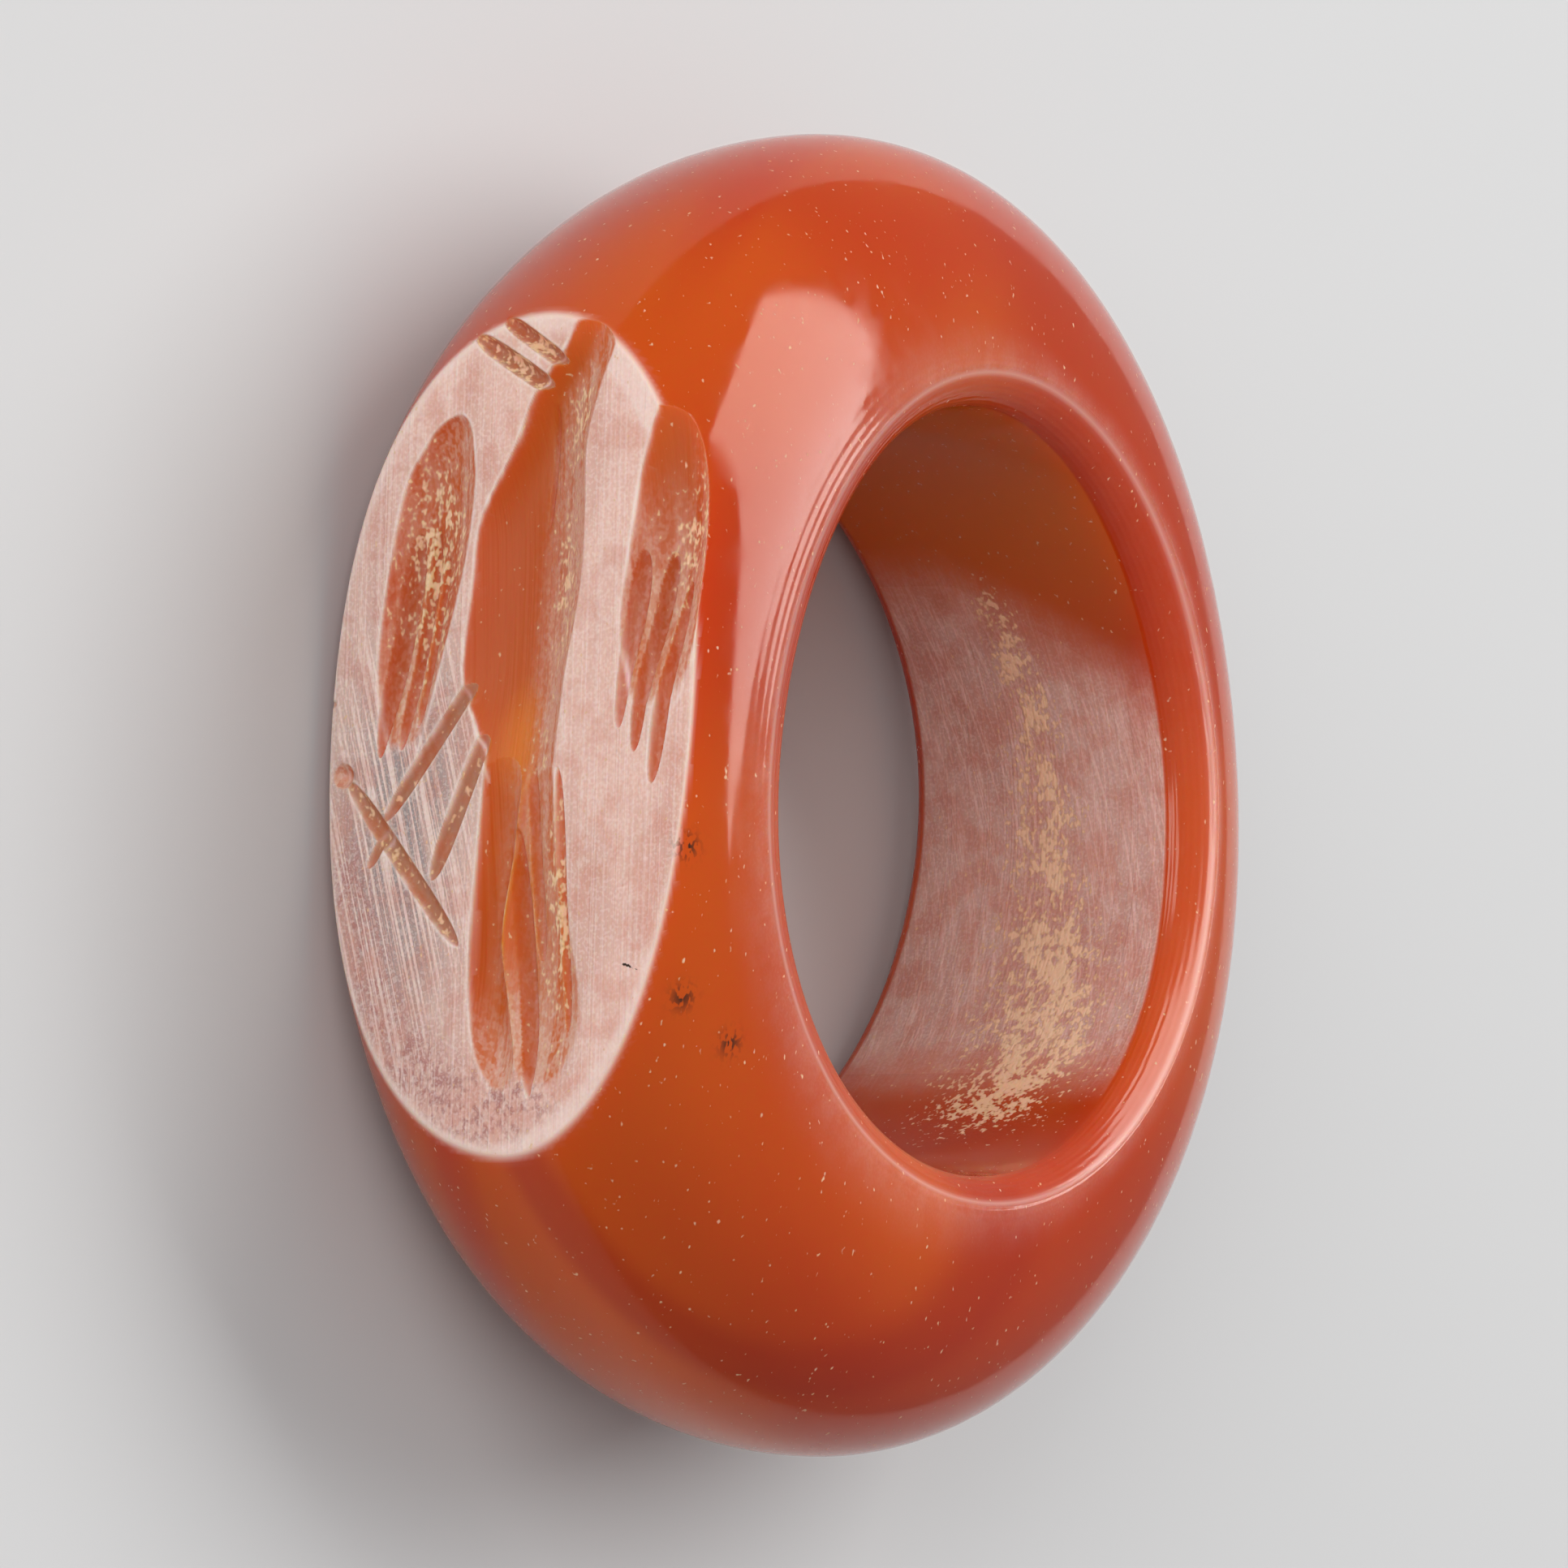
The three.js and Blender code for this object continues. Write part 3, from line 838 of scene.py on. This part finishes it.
class Nodes:
    """Short names for making and joining shader nodes."""

    def __init__(self, material):
        material.use_nodes = True
        self.tree = material.node_tree
        self.shader = self.tree.nodes["Principled BSDF"]

    def add(self, kind, **values):
        node = self.tree.nodes.new(kind)
        for name, value in values.items():
            setattr(node, name, value)
        return node

    def join(self, output, target):
        self.tree.links.new(output, target)

    def feed(self, node, inputs):
        for key, value in inputs.items():
            if isinstance(value, bpy.types.NodeSocket):
                self.join(value, node.inputs[key])
            else:
                node.inputs[key].default_value = value
        return node

    def math(self, operation, a, b=0.0, c=0.0, clamp=False):
        node = self.add("ShaderNodeMath", operation=operation, use_clamp=clamp)
        return self.feed(node, {0: a, 1: b, 2: c}).outputs[0]

    def attribute(self, name):
        return self.add("ShaderNodeAttribute", attribute_name=name).outputs["Fac"]

    def place(self, scale=EVERY_MM, rotation=(0, 0, 0)):
        """The point's own place in millimetres, turned first and then scaled."""
        source = self.add("ShaderNodeTexCoord").outputs["Object"]
        turned = self.add("ShaderNodeMapping")
        self.feed(turned, {"Vector": source, "Rotation": rotation})
        scaled = self.add("ShaderNodeMapping")
        return self.feed(scaled, {"Vector": turned.outputs[0], "Scale": scale}).outputs[0]

    def noise(self, place, scale, detail, roughness):
        node = self.add("ShaderNodeTexNoise")
        values = {"Vector": place, "Scale": scale, "Detail": detail, "Roughness": roughness}
        return self.feed(node, values).outputs["Fac"]

    def ramp(self, value, low, high, from_value=0.0, to_value=1.0):
        node = self.add("ShaderNodeMapRange", interpolation_type="SMOOTHSTEP")
        self.feed(node, {0: value, 1: low, 2: high, 3: from_value, 4: to_value})
        return node.outputs[0]

    def mix(self, factor, a, b):
        node = self.add("ShaderNodeMix", data_type="RGBA")
        for key, value in ((0, factor), (6, a), (7, b)):
            if isinstance(value, bpy.types.NodeSocket):
                self.join(value, node.inputs[key])
            elif key == 0:
                node.inputs[key].default_value = value
            else:
                node.inputs[key].default_value = (*value, 1)
        return node.outputs[2]

    def bump(self, height, distance):
        node = self.add("ShaderNodeBump")
        return self.feed(node, {"Height": height, "Distance": distance, "Strength": 1.0}).outputs[0]


def stone_colour(nodes):
    """Clear red orange stone with broad cloudy layers, one darker vein low on the band, and painted
    glow.
    """
    cloud = nodes.noise(nodes.place(), 0.11, 1.0, 0.5)
    layers = nodes.noise(nodes.place(*LAYERS), 1.0, 1.0, 0.55)
    colour = nodes.mix(nodes.ramp(cloud, 0.35, 0.68), STONE_DEEP, STONE_LIGHT)
    colour = nodes.mix(nodes.ramp(layers, 0.52, 0.72, 0, 0.6), colour, STONE_RED)
    vein = nodes.ramp(nodes.attribute("vein"), 0.1, 0.9, 0.0, 0.55)
    colour = nodes.mix(vein, colour, STONE_VEIN)
    # Painted glow: lighter stone in the carving and the hole, standing in for light shining through
    # it
    return nodes.mix(nodes.attribute("painted_glow"), colour, PAINTED_GLOW_COLOUR)


def frost_colour(nodes, scratches, grain, spots):
    """Ground stone: pinkish white, with long fine scratches and greyer, clearer zones; partly painted
    shade.
    """
    broad = nodes.noise(nodes.place(*BROAD), 1.0, 1.0, 0.6)
    colour = nodes.mix(nodes.ramp(broad, 0.35, 0.65), FROST_PINK, FROST_PALE)
    # On the face the greyer zone is partly painted shade on the side towards the floor
    grey = nodes.math("MULTIPLY", nodes.attribute("grey"), nodes.ramp(scratches, 0.6, 0.43, 0.3, 1))
    colour = nodes.mix(grey, colour, FROST_GREY)
    mottled = nodes.ramp(spots, 0.44, 0.58, 0.2, 0.95)
    colour = nodes.mix(nodes.math("MULTIPLY", nodes.attribute("mottle"), mottled), colour, FROST_RED)
    lines = nodes.ramp(nodes.attribute("grey"), 0.0, 0.8, 0.3, 0.65)
    white = nodes.math("MULTIPLY", nodes.ramp(scratches, 0.536, 0.62), lines)
    colour = nodes.mix(white, colour, FROST_WHITE)
    colour = nodes.mix(nodes.ramp(grain, 0.5, 0.67, 0.0, 0.3), colour, FROST_WHITE)
    return nodes.mix(nodes.ramp(grain, 0.39, 0.3, 0.0, 0.35), colour, FROST_PINK)


def all_scratches(nodes, straight):
    """Long scratches along the face, slanting where its ground is greyer."""
    slanting = nodes.noise(nodes.place(*SLANTING), 1.0, 1.0, 0.8)
    more = nodes.math("SUBTRACT", slanting, straight)
    share = nodes.ramp(nodes.attribute("grey"), 0.02, 0.5)
    return nodes.math("MULTIPLY_ADD", more, share, straight)


def uneven_frost(nodes, frost, streaks, patchy, fine):
    """Frost broken up by streaks and spots inside the carving."""
    carved = nodes.attribute("carved")
    streaky = nodes.math("MULTIPLY", nodes.ramp(streaks, 0.4, 0.6, -0.4, 0.35), carved)
    spotty = nodes.math("MULTIPLY", nodes.ramp(fine, 0.4, 0.6, -0.3, 0.35), carved)
    even = nodes.math("ADD", nodes.ramp(patchy, 0.35, 0.6, 0.8, 1.1), streaky)
    return nodes.math("MULTIPLY", nodes.math("ADD", even, spotty), frost, clamp=True)


def edge_cover(nodes, streaks):
    """Pale, slightly chipped lines along the face's outline, the cuts and the hole's rim, partly
    painted highlight.
    """
    broken = nodes.ramp(streaks, 0.35, 0.6, 0.3, 0.9)
    arris = nodes.math("MULTIPLY", nodes.attribute("arris"), broken)
    edge = nodes.math("MULTIPLY", nodes.attribute("face_edge"), FACE_EDGE_CHIPS_AND_HIGHLIGHT)
    face_rim = nodes.math("MULTIPLY", nodes.attribute("face_rim"), FACE_RIM_PALE)
    rim = nodes.math("MULTIPLY", nodes.attribute("rim"), HOLE_RIM_CHIPS_AND_HIGHLIGHT)
    edges = nodes.math("MAXIMUM", nodes.math("MAXIMUM", edge, arris), rim)
    return nodes.math("MAXIMUM", edges, face_rim)


def dirt_cover(nodes, fine, patchy):
    """Where loose tan grains lie, in clusters that thin out, and how high they stand."""
    loose = nodes.math("MULTIPLY", nodes.attribute("dirt"), nodes.ramp(patchy, 0.4, 0.58, 0.55, 1.1))
    height = nodes.math("ADD", fine, nodes.math("MULTIPLY", loose, 0.32))
    return nodes.ramp(height, 0.7, 0.79, 0.0, 0.8), height


def lathe_lines(nodes):
    """Height of the turned lines that run round the lip and beside its rim."""
    turns = nodes.math("SINE", nodes.math("MULTIPLY", nodes.attribute("lip"), LIP_TURNS))
    on_lip = nodes.math("MULTIPLY", turns, nodes.attribute("lathe"))
    beside = nodes.math("SINE", nodes.math("MULTIPLY", nodes.attribute("worn"), SIDE_TURNS))
    on_side = nodes.math("MULTIPLY", beside, nodes.attribute("worn"))
    return nodes.math("ADD", on_lip, on_side)


def carnelian():
    material = bpy.data.materials.new("carnelian")
    nodes = Nodes(material)
    shader = nodes.shader
    straight = nodes.noise(nodes.place(*STRAIGHT), 1.0, 1.0, 0.8)
    scratches = all_scratches(nodes, straight)
    streaks = nodes.noise(nodes.place(*STREAKS), 1.0, 2.0, 0.7)
    patchy = nodes.noise(nodes.place(), 1.3, 2.0, 0.7)
    fine = nodes.noise(nodes.place(*FINE), 8.0, 1.0, 0.75)

    worn = nodes.math("MULTIPLY", nodes.attribute("worn"), WORN_FROST)
    turned = nodes.math("MULTIPLY", nodes.attribute("lathe"), LATHE_FROST)
    frost = nodes.math("MAXIMUM", nodes.attribute("frost"), nodes.math("MAXIMUM", worn, turned))
    uneven = uneven_frost(nodes, frost, streaks, patchy, fine)
    grain = nodes.noise(nodes.place(*GRAIN), 16.0, 0.0, 0.8)
    spots = nodes.math("MULTIPLY", nodes.math("ADD", patchy, fine), 0.5)
    ground_stone = frost_colour(nodes, scratches, grain, spots)
    warm = nodes.math("MULTIPLY", nodes.attribute("carved"), CARVED_WARMTH)
    ground_stone = nodes.mix(warm, ground_stone, CARVED_TINT)
    colour = nodes.mix(uneven, stone_colour(nodes), ground_stone)
    stain = nodes.math("MULTIPLY", nodes.attribute("stain"), nodes.ramp(patchy, 0.4, 0.6, 0.45, 0.75))
    colour = nodes.mix(stain, colour, CUT_STAIN)
    colour = nodes.mix(edge_cover(nodes, streaks), colour, FROST_WHITE)
    dirt, grains = dirt_cover(nodes, fine, patchy)
    colour = nodes.mix(dirt, colour, nodes.mix(nodes.ramp(grains, 0.7, 0.9), SOIL_BROWN, SOIL_TAN))
    dark = nodes.math("MULTIPLY", nodes.attribute("specks"), nodes.ramp(fine, 0.48, 0.56), clamp=True)
    colour = nodes.mix(dark, colour, SPECK_DARK)
    colour = nodes.mix(nodes.ramp(grain, 0.95, 0.98, 0.0, 0.4), colour, FROST_WHITE)
    nodes.join(colour, shader.inputs["Base Color"])

    on_lip = nodes.math("MULTIPLY", nodes.attribute("lathe"), LATHE_GROUND)
    cut_ground = nodes.math("MULTIPLY", nodes.attribute("carved"), CARVED_GROUND)
    ground = nodes.math("MAXIMUM", frost, nodes.math("MAXIMUM", cut_ground, on_lip))
    polish = nodes.ramp(patchy, 0.35, 0.65, *POLISH_ROUGHNESS)
    rough = nodes.math("MAXIMUM", nodes.ramp(ground, 0.0, 0.8, 0.0, GROUND_ROUGHNESS), dirt)
    nodes.join(nodes.math("MAXIMUM", rough, polish), shader.inputs["Roughness"])
    depth = nodes.ramp(frost, 0.0, 1.0, CLEAR_SUBSURFACE, FROST_SUBSURFACE)
    nodes.join(depth, shader.inputs["Subsurface Weight"])
    shader.subsurface_method = "RANDOM_WALK"
    shader.inputs["Subsurface Radius"].default_value = SUBSURFACE_RADIUS
    shader.inputs["Subsurface Scale"].default_value = SUBSURFACE_DEPTH * MM
    shader.inputs["IOR"].default_value = STONE_IOR
    shader.inputs["Specular Tint"].default_value = SPECULAR_TINT

    height = nodes.math("MULTIPLY", lathe_lines(nodes), LATHE_HEIGHT)
    wave = nodes.noise(nodes.place(), 0.7, 0.0, 0.5)
    height = nodes.math("MULTIPLY_ADD", wave, WAVE_HEIGHT, height)
    scratched = nodes.math("MULTIPLY", straight, ground)
    height = nodes.math("MULTIPLY_ADD", scratched, SCRATCH_HEIGHT, height)
    loose = nodes.math("MULTIPLY", nodes.attribute("dirt"), DIRT_HEIGHT)
    coarse = nodes.math("MULTIPLY_ADD", frost, FROST_HEIGHT, loose)
    height = nodes.math("MULTIPLY_ADD", fine, coarse, height)
    nodes.join(nodes.bump(height, MM), shader.inputs["Normal"])
    return material


make_camera()
bpy.context.scene.view_settings.view_transform = "Standard"
ring = make_ring()
ring.data.materials.append(carnelian())
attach(ring, "root")
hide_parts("ring")

make_floor()
for name, (place, size, power) in LIGHTS.items():
    make_light(name, place, size, power)
bpy.context.scene.world = make_world()
